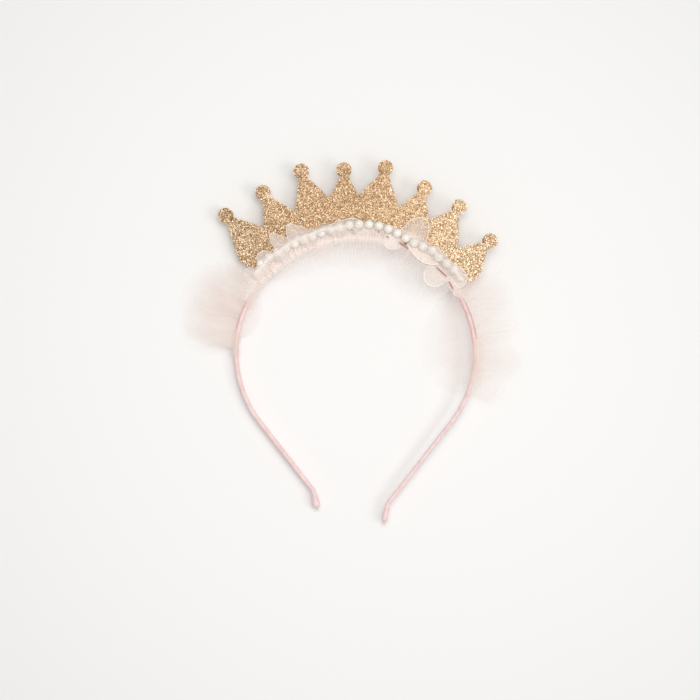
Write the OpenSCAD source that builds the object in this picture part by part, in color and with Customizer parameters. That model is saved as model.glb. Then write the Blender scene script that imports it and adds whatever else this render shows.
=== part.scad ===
// Mini crown headband, lying on its side as it is stored.
// +Z is up and the crown points along +Y. The origin is the centre of the head arc, on the
// surface that the band lies on. Lengths are in millimetres and angles in degrees, and a turn is
// counted from the top of the arc, clockwise as seen from above.

/* [Band] */
// Radius of the head arc, to the middle of the strip
arc_r = 62; // [58:0.5:68]
// Turn of the head arc on each side of its top
arc_angle = 64; // [60:1:68]
// Radius of each side arc, to the middle of the strip
side_r = 58; // [50:0.5:62]
// Turn of the right side arc
side_angle = 62.5; // [56:0.5:68]
// Straight run behind the right ear
leg_run = 52; // [40:0.5:56]
// Further turn of the left side arc, as this band was bent
left_more = 3; // [0:0.5:4]
// Length by which the run behind the left ear is shorter
left_less = 8.5; // [0:0.5:10]
// Angle by which each end turns back outwards
flare_angle = 26; // [15:1:40]
// Radius of that turn, to the middle of the strip
flare_r = 5; // [4:0.5:10]
// Straight end past the turn
tip_run = 7; // [6.5:0.5:14]
// Width of the wrapped strip, along Z
strip_w = 5; // [4:0.5:10]
// Thickness of the wrapped strip
strip_t = 2.2; // [1.8:0.1:3]
// Rounding of the strip's four edges
strip_round = 0.6; // [0.2:0.1:0.8]

/* [End folds] */
// Thickness of the ribbon folded over each end
fold_t = 0.55; // [0.3:0.05:0.9]
// Length of ribbon that runs back along each end
fold_run = 6; // [4:0.5:6.5]
// Length of the pinched nose past each end
fold_nose = 2.2; // [1.4:0.2:4]
// Width of the nose where it stops
nose_w = 1; // [0.6:0.1:1.6]

/* [Crown] */
// Rise of the tallest ball's centre from the band's outer face
crown_h = 35.5; // [26:0.5:44]
// Turn from the middle of the first ball to the middle of the last
crown_span = 92; // [84:0.5:96]
// Turn of the crown's middle from the band's, as it was glued
crown_turn = 1.8; // [0:0.2:3]
// Thickness of the glitter sheet
crown_t = 2; // [1.5:0.1:3]
// Depth of the crown's face below the strip's upper edge
crown_set = 0.4; // [0:0.1:0.9]
// Diameter of the ball on each point
ball_d = 7.8; // [5:0.1:8.5]
// Width of the neck under each ball
neck_w = 4.1; // [2:0.1:4.5]
// Radius of the rounded lower corner at each end
corner_r = 8.8; // [6:0.2:9.6]

/* [Pearls] */
// Diameter of a pearl
pearl_d = 4.6; // [4:0.1:5.4]
// Gap between two pearls on the thread
pearl_gap = 0.4; // [0.2:0.1:1]
// Diameter of the hole through a pearl
pearl_hole = 0.9; // [0.7:0.1:1.3]
// Diameter of the thread
thread_d = 0.5; // [0.3:0.05:0.6]
// Length of thread past the first and the last pearl
thread_end = 1.2; // [0.4:0.1:3]
// Distance of the pearl line from the middle of the strip
pearl_out = 5; // [4:0.25:7]
// Turn of the pearl line on each side of its middle
pearl_span = 48; // [40:1:50]
// Sideways wander of the pearl line
pearl_wander = 1.3; // [0:0.1:1.6]

/* [Ruffle] */
// Turn of the ruffle on each side of the top
ruffle_span = 54; // [50:0.5:55]
// Reach of its tallest fan, outwards from the pearl line
ruffle_out = 12.5; // [8:0.5:15]
// Reach of its longest loop, inwards from the pearl line
ruffle_in = 12.5; // [9:0.5:15]
// Height of its flutes
ruffle_lift = 3.2; // [2:0.2:5]
// Distance between two flutes
flute_pitch = 5.4; // [4.5:0.1:8]
// Thickness of the ruffle
ruffle_t = 1; // [1:0.1:1.4]

/* [Tulle] */
// Turn at which both tufts begin
tulle_from = 56; // [56:0.5:60]
// Turn at which the left tuft ends
left_to = 92; // [84:1:110]
// Turn at which the right tuft ends
right_to = 112; // [90:1:118]
// Reach of the longest pleats from the band's outer face
tulle_out = 27; // [18:0.5:34]
// Reach of the flap that hangs inside the band
tulle_in = 20; // [10:0.5:24]
// Height of the top layer's outer edge over the strip's upper edge
tulle_puff = 11; // [6:0.5:20]
// Height of the pleats at the outer edge
pleat_h = 3.2; // [2:0.2:5]
// Distance between two pleats at the band
pleat_pitch = 4.6; // [4:0.2:8]
// Thickness of a layer
tulle_t = 1; // [1:0.1:1.2]

/* [Hidden] */
// Gap between two pieces that rest on each other
seat = 0.12;
// The strip's side arcs and flares start and end this far inside the stretches beside them
tuck = 0.3;
// and are thinner than they are by this much on each face
tuck_gap = 0.03;
face_out = strip_t / 2;
// Turn at which each side arc ends
right_turn = arc_angle + side_angle;
left_turn = right_turn + left_more;
left_run = leg_run - left_less;
crown_z = strip_w - crown_set - crown_t;
crown_base = arc_r + face_out + seat;
ruffle_z = strip_w + seat + ruffle_t / 2;
pearl_r = arc_r + pearl_out;
pearl_z = ruffle_z + ruffle_t / 2 + seat + pearl_d / 2;
pearl_step = 360 * (pearl_d + pearl_gap) / (2 * PI * pearl_r);
pearl_side = floor(pearl_span / pearl_step);
pearl_count = 2 * pearl_side + 1;
// Depth of the neck's corners in the ball, measured from the ball's centre
neck_out = 0.42 * ball_d;
// Flat strip of the ruffle beside the pearls, and the least that it reaches past that strip
ruffle_flat = 0.3;
ruffle_least = 0.6;
// Shortest flap of a tuft inside the band
flap_least = 2;
// Most by which the cloth is thickened upwards where it is steep
STEEPEST = 2;

// Crown's points from left to right: LEAN is the ball's shift as a share of the pitch, RISE the
// height of its centre and DIP the height of the notch after it as shares of crown_h, and SKEW
// the notch's shift from halfway as a share of the pitch.
LEAN = 0;
RISE = 1;
DIP = 2;
SKEW = 3;
POINTS = [
    [0.00, 1.00, 0.52, 0.06],
    [0.00, 0.95, 0.49, 0.02],
    [0.00, 1.02, 0.54, 0.04],
    [-0.03, 0.93, 0.55, -0.13],
    [-0.07, 0.99, 0.47, 0.03],
    [-0.06, 0.86, 0.465, -0.02],
    [-0.11, 0.86, 0.38, 0.1],
    [0.00, 0.79, 0, 0]
];
// Height of the two lower corners' centres, as shares of crown_h
CORNER_RISE = [0.36, 0.28];

// Pearl line, from left to right: share of pearl_span and share of pearl_wander
PEARL_ROUTE = [[-1.1, 1], [-0.5, -1], [0.14, 1], [0.55, -1], [0.72, 0.1], [0.8, -0.4], [1.1, 0.9]];

// Place along a piece in the tables of the ruffle and of the tufts, as a share of its turn
ALONG = 0;
// Ruffle, from left to right: OUT is a share of ruffle_out and IN of ruffle_in, both from the
// pearl line, and UP of ruffle_lift.
OUT = 1;
IN = 2;
UP = 3;
RUFFLE = [
    [-1.00, 0.62, 0.42, 0.5],
    [-0.90, 0.66, 0.56, 0.9],
    [-0.83, 0.60, 0.56, 0.8],
    [-0.79, 0.38, 0.55, 0.6],
    [-0.66, 0.86, 0.55, 1.0],
    [-0.61, 0.36, 0.55, 0.6],
    [-0.54, 0.86, 0.55, 1.0],
    [-0.40, 0.36, 0.52, 0.6],
    [-0.27, 0.28, 0.50, 0.4],
    [-0.10, 0.36, 0.58, 0.6],
    [0.10, 0.32, 0.60, 0.5],
    [0.18, 0.38, 0.66, 0.6],
    [0.29, 0.27, 0.64, 0.5],
    [0.36, 0.32, 0.42, 0.5],
    [0.40, 0.88, 0.50, 0.9],
    [0.49, 1.00, 0.56, 1.0],
    [0.56, 0.38, 0.58, 0.6],
    [0.66, 0.30, 0.42, 0.5],
    [0.72, 0.34, 0.90, 0.8],
    [0.79, 0.28, 1.00, 1.0],
    [0.86, 0.32, 0.92, 0.8],
    [0.91, 0.42, 0.50, 0.5],
    [1.00, 0.32, 0.40, 0.5]
];

// Tufts, from the crown to the ear: SWAY is the angle by which a pleat turns down from straight
// out, and REACH outwards, LIFT and FLAP inwards are shares of tulle_out, of the layer's height
// and of tulle_in.
SWAY = 1;
REACH = 2;
LIFT = 3;
FLAP = 4;
LEFT_TUFT = [
    [0.00, 18, 0.80, 0.6, 0.12],
    [0.15, 15, 0.98, 0.9, 0.30],
    [0.35, 13, 1.00, 1.0, 0.46],
    [0.60, 8, 0.96, 1.0, 0.40],
    [0.80, 0, 0.95, 0.8, 0.34],
    [1.00, -10, 0.86, 0.5, 0.16]
];
RIGHT_TUFT = [
    [0.00, 26, 0.62, 0.5, 0.15],
    [0.10, 24, 0.98, 0.8, 0.35],
    [0.22, 19, 0.80, 0.9, 0.60],
    [0.34, 14, 1.02, 0.9, 0.85],
    [0.46, 9, 0.95, 1.0, 1.00],
    [0.56, 7, 1.03, 1.0, 0.75],
    [0.68, 10, 0.98, 0.9, 0.90],
    [0.78, 13, 0.70, 0.8, 0.80],
    [0.90, 15, 0.84, 0.6, 0.50],
    [1.00, 12, 0.34, 0.3, 0.15]
];
// Layers from the surface up: ROOT is the height of the root as a share of strip_w, EDGE that of
// the outer edge as a share of the tuft's height over the surface, and SIZE a share of the reach.
ROOT = 0;
EDGE = 1;
SIZE = 2;
LOW = [0.25, 0.04, 1.00];
MIDDLE = [0.66, 0.46, 0.96];
TOP = [1, 1, 0.92];

function pearl_name(i) = str("pearl_", i < 10 ? "0" : "", i);
function heading(turn) = [sin(turn), cos(turn)];
function polar(r, turn) = r * heading(turn);
function column(rows, key, value) = lookup(key, [for (row = rows) [row[ALONG], row[value]]]);
function ease(t) = (1 - cos(180 * t)) / 2;

// Middle line of the strip, stepped out by a distance, on the right-hand side
function on_band(turn, out) =
    turn <= arc_angle
        ? polar(arc_r + out, turn)
        : polar(arc_r - side_r, arc_angle) + polar(side_r + out, turn);

// Section of the strip, with its middle line at x = 0 and its lower edge at y = 0, thinner on
// each face by the amount given
module strip_section(thinner = 0) {
    inner_w = strip_w - 2 * strip_round;
    inner_t = strip_t - 2 * strip_round - 2 * thinner;
    polygon([for (corner = [[1, 1, 0], [-1, 1, 90], [-1, -1, 180], [1, -1, 270]], a = [0:30:90])
        [corner.x * inner_t / 2, (strip_w + corner.y * inner_w) / 2]
            + strip_round * [cos(corner.z + a), sin(corner.z + a)]]);
}

// Bend of the strip, clockwise about the origin from one turn to another
module strip_bend(r, from, to, thinner = 0) {
    rotate_extrude(angle = to - from, start = 90 - to, $fn = 96)
        translate([r, 0]) strip_section(thinner);
}

// The same bend, run on by a tuck at both ends
module tucked_bend(r, from, to) {
    more = 360 * tuck / (2 * PI * r);
    strip_bend(r, from - more, to + more, tuck_gap);
}

// Straight run of the strip along +X from the origin
module strip_run(length) {
    rotate([90, 0, 90]) linear_extrude(height = length) strip_section();
}

// Frame at the start of the flare, past a side arc that ends at a turn and a straight run. +X is
// along the strip and +Y outwards.
module at_flare(end_turn, run) {
    start = on_band(end_turn, 0) + run * [cos(end_turn), -sin(end_turn)];
    translate(start) rotate(-end_turn) children();
}

// The same frame at the start of the straight tip
module at_tip(end_turn, run) {
    at_flare(end_turn, run)
        translate([0, flare_r]) rotate(flare_angle) translate([0, -flare_r]) children();
}

// Side arc, leg, flare and tip, drawn on the right
module leg(end_turn, run) {
    translate(polar(arc_r - side_r, arc_angle)) tucked_bend(side_r, arc_angle, end_turn);
    translate(on_band(end_turn, 0)) rotate(-end_turn) strip_run(run);
    at_flare(end_turn, run)
        translate([0, flare_r]) tucked_bend(flare_r, 180 - flare_angle, 180);
    at_tip(end_turn, run) strip_run(tip_run);
}

// Satin ribbon wound round a spring steel strip
module band() {
    color([0.94, 0.76, 0.75]) {
        strip_bend(arc_r, -arc_angle, arc_angle);
        leg(right_turn, leg_run);
        mirror([1, 0, 0]) leg(left_turn, left_run);
    }
}

// Ribbon folded over one end and pinched to a nose, drawn on the right
module end_fold(end_turn, run) {
    inner = face_out + seat;
    outer = inner + fold_t;
    start = tip_run - fold_run;
    color([0.95, 0.75, 0.73])
        at_tip(end_turn, run) linear_extrude(height = strip_w) difference() {
            polygon([
                [start, -inner - fold_t / 3], [tip_run - fold_run / 2, -outer], [tip_run, -outer],
                [tip_run + fold_nose / 2, -inner], [tip_run + fold_nose, -nose_w / 2],
                [tip_run + fold_nose, nose_w / 2], [tip_run + fold_nose / 2, inner],
                [tip_run, outer], [tip_run - fold_run / 2, outer], [start, inner + fold_t / 3]
            ]);
            translate([start - 1, -inner]) square([fold_run + 1 + seat, 2 * inner]);
        }
}

function pitch() = crown_span / (len(POINTS) - 1);
function point_turn(i) = crown_turn - crown_span / 2 + pitch() * (i + POINTS[i][LEAN]);
function ball_at(i) = polar(crown_base + crown_h * POINTS[i][RISE], point_turn(i));
function notch_at(i) =
    polar(crown_base + crown_h * POINTS[i][DIP],
          (point_turn(i) + point_turn(i + 1)) / 2 + pitch() * POINTS[i][SKEW]);
// Corner of the neck, just under the ball, on the left for side -1 and the right for 1
function neck_at(i, side) =
    let (out = heading(point_turn(i)), across = [out.y, -out.x])
    ball_at(i) - neck_out * out + side * neck_w / 2 * across;
function corner_at(side) =
    let (i = side < 0 ? 0 : len(POINTS) - 1)
    polar(crown_base + crown_h * CORNER_RISE[side < 0 ? 0 : 1], point_turn(i) + side);
// Where a line from p touches a circle round c, on the side given
function touch_at(p, c, r, side) =
    let (d = p - c, off = side * acos(r / norm(d)), a = atan2(d.y, d.x) + off)
    c + r * [cos(a), sin(a)];

// Crown cut from one glitter sheet, its base along the band's outer face
module crown() {
    last = len(POINTS) - 1;
    left = corner_at(-1);
    right = corner_at(1);
    color([0.80, 0.66, 0.50]) translate([0, 0, crown_z]) difference() {
        union() {
            linear_extrude(height = crown_t) polygon(concat(
                [left, touch_at(neck_at(0, -1), left, corner_r, 1)],
                [for (i = [0:last]) each concat(
                    [neck_at(i, -1), neck_at(i, 1)],
                    i < last ? [notch_at(i)] : []
                )],
                [touch_at(neck_at(last, 1), right, corner_r, -1), right],
                [for (i = [last:-1:0]) polar(arc_r, point_turn(i))]
            ));
            for (i = [0:last]) translate(ball_at(i)) cylinder(h = crown_t, d = ball_d, $fn = 48);
            for (c = [left, right]) translate(c) cylinder(h = crown_t, r = corner_r, $fn = 64);
        }
        translate([0, 0, -1]) cylinder(h = crown_t + 2, r = crown_base, $fn = 180);
    }
}

// Radius of the pearl line at a turn, eased from one chosen point of its route to the next
function route_r(turn) =
    let (s = turn / pearl_span,
         k = max([for (i = [0:len(PEARL_ROUTE) - 2]) s >= PEARL_ROUTE[i][0] ? i : 0]),
         a = PEARL_ROUTE[k], b = PEARL_ROUTE[k + 1],
         t = ease(max(0, min(1, (s - a[0]) / (b[0] - a[0])))))
    pearl_r + pearl_wander * (a[1] + (b[1] - a[1]) * t);
function route_at(turn) = polar(route_r(turn), turn);
// Angle in the XY plane along which the pearl line runs at a turn
function route_angle(turn) =
    let (d = route_at(turn + 0.5) - route_at(turn - 0.5))
    atan2(d.y, d.x);
function pearl_turn(i) = (i - 1 - pearl_side) * pearl_step;

// Pearl drilled along the thread
module pearl(i) {
    turn = pearl_turn(i);
    color([0.96, 0.94, 0.90])
        translate(concat(route_at(turn), pearl_z)) rotate([0, 90, route_angle(turn)])
            rotate_extrude($fn = 48) intersection() {
                circle(d = pearl_d, $fn = 48);
                translate([pearl_hole / 2, -pearl_d]) square([pearl_d, 2 * pearl_d]);
            }
}

// Thread through every pearl, straight inside each, with a ring at both of its mouths
module pearl_thread() {
    sides = 6;
    rings = [for (i = [1:pearl_count], side = [-1, 1])
        let (turn = pearl_turn(i),
             a = route_angle(turn),
             is_end = side < 0 ? i == 1 : i == pearl_count,
             c = route_at(turn) + side * (pearl_d / 2 + (is_end ? thread_end : 0)) * [cos(a), sin(a)])
        [for (k = [0:sides - 1])
            let (w = thread_d / 2 * cos(360 * k / sides), h = thread_d / 2 * sin(360 * k / sides))
            [c.x - w * sin(a), c.y + w * cos(a), pearl_z + h]]];
    n = len(rings);
    points = [for (ring = rings) each ring];
    skin = [for (i = [0:n - 2], k = [0:sides - 1])
        let (a = i * sides + k, b = i * sides + (k + 1) % sides)
        each [[a, a + sides, b], [b, a + sides, b + sides]]];
    caps = [[for (k = [0:sides - 1]) k], [for (k = [sides - 1:-1:0]) (n - 1) * sides + k]];
    color([0.95, 0.93, 0.90]) polyhedron(points, concat(skin, caps));
}

// Slope of a grid of points as the ratio of its true area to its area in plan
function slope(grid, i, j) =
    let (n = len(grid) - 1, m = len(grid[0]) - 1,
         a = grid[min(n, i + 1)][j] - grid[max(0, i - 1)][j],
         b = grid[i][min(m, j + 1)] - grid[i][max(0, j - 1)],
         c = cross(a, b))
    min(STEEPEST, norm(c) / abs(c.z));

// Cloth of an even thickness on both sides of a grid of points, whose rows run from left to
// right and whose columns run outwards
module cloth(grid, t) {
    n = len(grid);
    m = len(grid[0]);
    upper = [for (i = [0:n - 1], j = [0:m - 1]) grid[i][j] + [0, 0, t / 2 * slope(grid, i, j)]];
    lower = [for (i = [0:n - 1], j = [0:m - 1]) grid[i][j] - [0, 0, t / 2 * slope(grid, i, j)]];
    low = n * m;
    faces_up = [for (i = [0:n - 2], j = [0:m - 2])
        let (a = i * m + j)
        each [[a, a + 1, a + m], [a + 1, a + m + 1, a + m]]];
    faces_down = [for (f = faces_up) [f[2] + low, f[1] + low, f[0] + low]];
    rim = concat(
        [for (i = [0:n - 2]) [i * m, (i + 1) * m]],
        [for (j = [0:m - 2]) [(n - 1) * m + j, (n - 1) * m + j + 1]],
        [for (i = [n - 1:-1:1]) [i * m + m - 1, (i - 1) * m + m - 1]],
        [for (j = [m - 1:-1:1]) [j, j - 1]]
    );
    sides = [for (e = rim) each [[e[0], e[1], e[0] + low], [e[1], e[1] + low, e[0] + low]]];
    polyhedron(concat(upper, lower), concat(faces_up, faces_down, sides));
}

// Organza ribbon gathered along the pearl line and fluted on both sides of it
module ruffle() {
    flutes = round(2 * PI * pearl_r * 2 * ruffle_span / 360 / flute_pitch);
    samples = 6;
    columns = samples * flutes;
    flat = pearl_d / 2 + ruffle_flat;
    least = flat + ruffle_least;
    shares = [-1, -0.5, 0, 0.001, 0.5, 1];
    grid = [for (i = [0:columns])
        let (turn = ruffle_span * (2 * i / columns - 1),
             s = turn / ruffle_span,
             wave = ease(2 * i / samples),
             lift = ruffle_lift * column(RUFFLE, s, UP),
             out = max(least, ruffle_out * column(RUFFLE, s, OUT) * (0.94 + 0.1 * wave)),
             in = max(least, ruffle_in * column(RUFFLE, s, IN) * (1 - 0.08 * wave)))
        [for (v = shares)
            let (past = abs(v),
                 d = v <= 0 ? -flat + (in - flat) * v : flat + (out - flat) * v)
            concat(polar(pearl_r + d, turn), ruffle_z + lift * past * wave)]];
    color([0.97, 0.92, 0.90]) cloth(grid, ruffle_t);
}

// One layer of a tuft: pleats that run out from the band and rise, all in step, so that each
// layer lies on the one below. The top layer is gathered over the strip's upper edge, and its
// other half hangs inside the band.
module tuft_layer(tuft, to, layer) {
    is_top = layer == TOP;
    length = 2 * PI * side_r * (to - tulle_from) / 360;
    pleats = round(length / pleat_pitch);
    samples = 4;
    columns = samples * pleats;
    root = face_out + seat;
    root_z = is_top ? strip_w + seat + tulle_t / 2 : strip_w * layer[ROOT];
    low_z = STEEPEST * tulle_t / 2;
    high_z = strip_w + tulle_puff;
    outward = [0, 0.25, 0.5, 0.75, 1];
    inward = is_top ? [-1, -0.5, -0.001] : [];
    grid = [for (i = [0:columns])
        let (s = i / columns,
             turn = tulle_from + (to - tulle_from) * s,
             wave = ease(2 * i / samples),
             way = heading(turn + column(tuft, s, SWAY)),
             reach = tulle_out * layer[SIZE] * column(tuft, s, REACH) * (0.97 + 0.05 * wave),
             flap = max(flap_least, tulle_in * column(tuft, s, FLAP)),
             edge_z = max(low_z, low_z + (high_z - low_z) * layer[EDGE] * column(tuft, s, LIFT)))
        [for (v = concat(inward, outward))
            v < 0
                ? concat(on_band(turn, -root + flap * v),
                         root_z + (low_z + pleat_h / 3 * wave - root_z) * -v)
                : concat(on_band(turn, root) + reach * v * way,
                         root_z + (edge_z - root_z) * pow(v, 1.3) + pleat_h * wave * v)]];
    color([0.97, 0.88, 0.86]) cloth(grid, tulle_t);
}

module tulle_left(layer) { mirror([1, 0, 0]) tuft_layer(LEFT_TUFT, left_to, layer); }
module tulle_right(layer) { tuft_layer(RIGHT_TUFT, right_to, layer); }

band();
mirror([1, 0, 0]) end_fold(left_turn, left_run);  // left_end_fold
end_fold(right_turn, leg_run);  // right_end_fold
crown();
ruffle();
pearl_thread();
for (i = [1:pearl_count]) pearl(i);
tulle_left(LOW);  // tulle_left_low
tulle_left(MIDDLE);  // tulle_left_middle
tulle_left(TOP);  // tulle_left_top
tulle_right(LOW);  // tulle_right_low
tulle_right(MIDDLE);  // tulle_right_middle
tulle_right(TOP);  // tulle_right_top
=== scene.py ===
import math

import bpy
import numpy as np
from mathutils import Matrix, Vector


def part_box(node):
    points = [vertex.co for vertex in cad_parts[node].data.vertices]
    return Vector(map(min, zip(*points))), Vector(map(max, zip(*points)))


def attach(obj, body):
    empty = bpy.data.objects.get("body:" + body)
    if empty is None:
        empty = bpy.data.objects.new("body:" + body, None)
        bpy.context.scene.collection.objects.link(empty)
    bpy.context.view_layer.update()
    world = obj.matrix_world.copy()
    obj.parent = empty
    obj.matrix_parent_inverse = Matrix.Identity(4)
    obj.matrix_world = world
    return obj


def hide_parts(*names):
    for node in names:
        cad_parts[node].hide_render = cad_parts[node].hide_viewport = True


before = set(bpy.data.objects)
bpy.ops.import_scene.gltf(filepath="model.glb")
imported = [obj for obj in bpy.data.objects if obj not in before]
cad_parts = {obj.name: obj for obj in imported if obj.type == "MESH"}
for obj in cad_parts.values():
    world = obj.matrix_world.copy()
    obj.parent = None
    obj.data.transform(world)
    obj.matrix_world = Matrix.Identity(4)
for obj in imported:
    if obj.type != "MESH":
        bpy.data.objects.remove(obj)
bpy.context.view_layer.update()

# Camera: it looks straight down at the headband, which lies on its side. The picture's middle and
# its slight roll follow the photograph, where the arc's centre is right of and below the middle.
MM = 0.001
PHOTO_SIDE = 700
PIXEL = 0.515 * MM
ARC_CENTRE_PX = (355.6, 356.5)
ROLL = math.radians(1.55)
CAMERA_TO_BAND = 1.2
BAND_PLANE_Z = 4 * MM

right_of_arc = (PHOTO_SIDE / 2 - ARC_CENTRE_PX[0]) * PIXEL
above_arc = (ARC_CENTRE_PX[1] - PHOTO_SIDE / 2) * PIXEL
camera_data = bpy.data.cameras.new("camera")
camera_data.angle = 2 * math.atan(PHOTO_SIDE * PIXEL / 2 / CAMERA_TO_BAND)
camera_data.clip_start = 0.01
camera = bpy.data.objects.new("camera", camera_data)
camera.location = (
    right_of_arc * math.cos(ROLL) - above_arc * math.sin(ROLL),
    right_of_arc * math.sin(ROLL) + above_arc * math.cos(ROLL),
    CAMERA_TO_BAND + BAND_PLANE_Z,
)
camera.rotation_euler = (0, 0, ROLL)
bpy.context.collection.objects.link(camera)
bpy.context.scene.camera = camera

# Floor and light: a plain pale table in a bright, even room, with a large soft lamp high on the
# right and a wider one nearly overhead. The band's left tip and the bunched net carry the
# headband, so the table lies a little below that tip and falls away towards the crown and the
# right, and the shadows lie softly to the left.
FLOOR_SIDE = 6.0
LEFT_TIP = (-20 * MM, -80 * MM)
TIP_GAP = 1.3 * MM
FLOOR_FALL_BACK = 0.032
FLOOR_FALL_RIGHT = 0.05
FLOOR_COLOUR = (0.905, 0.905, 0.905, 1)
ROOM_COLOUR = (1.0, 0.997, 0.985, 1)
ROOM_STRENGTH = 0.475
LAMP_COLOUR = (1.0, 0.985, 0.96)
# Of each lamp: power, size, spread in degrees, distance, height above the table in degrees and
# turn in degrees from +X towards +Y
LAMPS = {
    "side_lamp": (0.45, 0.75, 56, 1.5, 52, -12),
    "top_lamp": (1.25, 0.8, 66, 1.2, 80, 70),
}


def link_piece(name, mesh, material):
    """Puts a mesh of one material in the scene as an object of that name."""
    mesh.materials.append(material)
    piece = bpy.data.objects.new(name, mesh)
    bpy.context.collection.objects.link(piece)
    return piece


def add_node(tree, kind, feeds=None, **settings):
    """Adds a shader node, sets it up and feeds its inputs with sockets or plain values."""
    node = tree.nodes.new("ShaderNode" + kind)
    for key, value in settings.items():
        setattr(node, key, value)
    for key, value in (feeds or {}).items():
        if isinstance(value, bpy.types.NodeSocket):
            tree.links.new(value, node.inputs[key])
        else:
            node.inputs[key].default_value = value
    return node


def new_material(name, **constants):
    """A material with a Principled shader whose plain values are set on its own sockets."""
    material = bpy.data.materials.new(name)
    material.use_nodes = True
    shader = material.node_tree.nodes["Principled BSDF"]
    for key, value in constants.items():
        shader.inputs[key.replace("_", " ").title().replace("Ior", "IOR")].default_value = value
    return material, material.node_tree, shader


def floor_height(x, y):
    """Height of the table under a place."""
    return -TIP_GAP - FLOOR_FALL_RIGHT * (x - LEFT_TIP[0]) - FLOOR_FALL_BACK * (y - LEFT_TIP[1])


floor_mesh = bpy.data.meshes.new("floor")
half = FLOOR_SIDE / 2
corners = [(-half, -half), (half, -half), (half, half), (-half, half)]
floor_mesh.from_pydata([(x, y, floor_height(x, y)) for x, y in corners], [], [(0, 1, 2, 3)])
floor_paint = new_material("floor", base_color=FLOOR_COLOUR, roughness=0.8)[0]
floor = link_piece("floor", floor_mesh, floor_paint)

world = bpy.data.worlds.new("room")
world.use_nodes = True
world.node_tree.nodes["Background"].inputs["Color"].default_value = ROOM_COLOUR
world.node_tree.nodes["Background"].inputs["Strength"].default_value = ROOM_STRENGTH
bpy.context.scene.world = world

for name, (power, size, spread, distance, height, turn) in LAMPS.items():
    lamp_data = bpy.data.lights.new(name, "AREA")
    lamp_data.shape = "DISK"
    lamp_data.size = size
    lamp_data.spread = math.radians(spread)
    lamp_data.energy = power
    lamp_data.color = LAMP_COLOUR
    lamp = bpy.data.objects.new(name, lamp_data)
    height, turn = math.radians(height), math.radians(turn)
    level = distance * math.cos(height)
    lamp.location = (level * math.cos(turn), level * math.sin(turn), distance * math.sin(height))
    lamp.rotation_euler = (0, math.pi / 2 - height, turn)
    bpy.context.collection.objects.link(lamp)
bpy.context.scene.view_settings.view_transform = "Standard"
bpy.context.scene.cycles.transparent_max_bounces = 40

# Band: a spring steel strip wound from end to end with pale pink satin ribbon. Each turn of the
# ribbon laps the one before it, so a low slanting step crosses the strip at every turn.
ARC_R = 62 * MM
ARC_ANGLE = math.radians(64)
SIDE_R = 58 * MM
# Of the left and of the right: turn of the side arc, and straight run behind the ear
SIDE_ANGLES = {-1: math.radians(65.5), 1: math.radians(62.5)}
LEG_RUNS = {-1: 43.5 * MM, 1: 52 * MM}
FLARE_R = 5 * MM
FLARE_ANGLE = math.radians(26)
TIP_RUN = 7 * MM
STRIP_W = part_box("band")[1][2]
STRIP_T = 2 * (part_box("band")[1][1] - ARC_R)
STRIP_ROUND = 0.6 * MM
STATION_GAP = 0.1 * MM
RING_GAP = 0.4 * MM
RING_POINTS = 32
LAP_PITCH = 8.6 * MM
LAP_STEP = 0.08 * MM
# Depth of the shade painted along each lap of the ribbon
LAP_SHADE_DEPTH = 0.3
LAP_DROP = 0.07
LAP_WANDER = 0.10
# Where the painted shade along a lap begins, as the distance of the lap phase from its middle
LAP_SHADE_FROM = 0.455
SATIN_PINK = (0.885, 0.70, 0.69, 1)
SATIN_DEEP = (0.80, 0.56, 0.555, 1)
# Colour of the shade painted along the laps
SATIN_PAINTED_SHADE = (0.60, 0.32, 0.31, 1)
SATIN_SHEEN = (1.0, 0.86, 0.86, 1)


def half_strip(side_angle, leg_run):
    """Middle line of half the strip, drawn on the right: distance from the top of the arc, turn
    and place at every station, worked out from how sharply each stretch bends."""
    stretches = [
        (ARC_R * ARC_ANGLE, 1 / ARC_R),
        (SIDE_R * side_angle, 1 / SIDE_R),
        (leg_run, 0),
        (FLARE_R * FLARE_ANGLE, -1 / FLARE_R),
        (TIP_RUN, 0),
    ]
    ends = np.cumsum([length for length, bend in stretches])
    stations = np.append(np.arange(0, ends[-1], STATION_GAP), ends[-1])
    steps = np.diff(stations)
    stretch_of_step = np.searchsorted(ends, stations[:-1] + steps / 2)
    bends = np.array([bend for length, bend in stretches])[stretch_of_step]
    turns = np.concatenate([[0], np.cumsum(bends * steps)])
    middles = turns[:-1] + bends * steps / 2
    x = np.concatenate([[0], np.cumsum(np.cos(middles) * steps)])
    y = ARC_R - np.concatenate([[0], np.cumsum(np.sin(middles) * steps)])
    return stations, turns, x, y


halves = {side: half_strip(SIDE_ANGLES[side], LEG_RUNS[side]) for side in (-1, 1)}
ends = {side: float(stations[-1]) for side, (stations, turns, x, y) in halves.items()}


def along_strip(distance):
    """Place and turn of the strip's middle line at a distance from its top, left if below 0."""
    distance = np.asarray(distance, float)
    place, turn = np.zeros(distance.shape + (2,)), np.zeros(distance.shape)
    for side, (stations, turns, x, y) in halves.items():
        here = (distance < 0) if side < 0 else (distance >= 0)
        far = np.abs(distance)
        line = np.stack([side * np.interp(far, stations, x), np.interp(far, stations, y)], axis=-1)
        place = np.where(here[..., None], line, place)
        turn = np.where(here, side * np.interp(far, stations, turns), turn)
    return place, turn


def outwards(turn):
    """Unit vector that points out of the band at a turn, in plan."""
    return np.stack([np.sin(turn), np.cos(turn)], axis=-1)


def from_centre(turn, distance):
    """Place at a turn in degrees and a distance in millimetres from the arc's centre."""
    return distance * MM * outwards(math.radians(turn))


def wander(x, seed, waves):
    """Smooth random curve between about -1 and 1, the same for the same seed."""
    draw = np.random.default_rng(seed)
    total = np.zeros_like(np.asarray(x, float))
    for wave in range(1, waves + 1):
        total += np.sin(2 * math.pi * (x * wave + draw.random())) * draw.uniform(0.4, 1.0) / wave
    return total / 1.6


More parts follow.
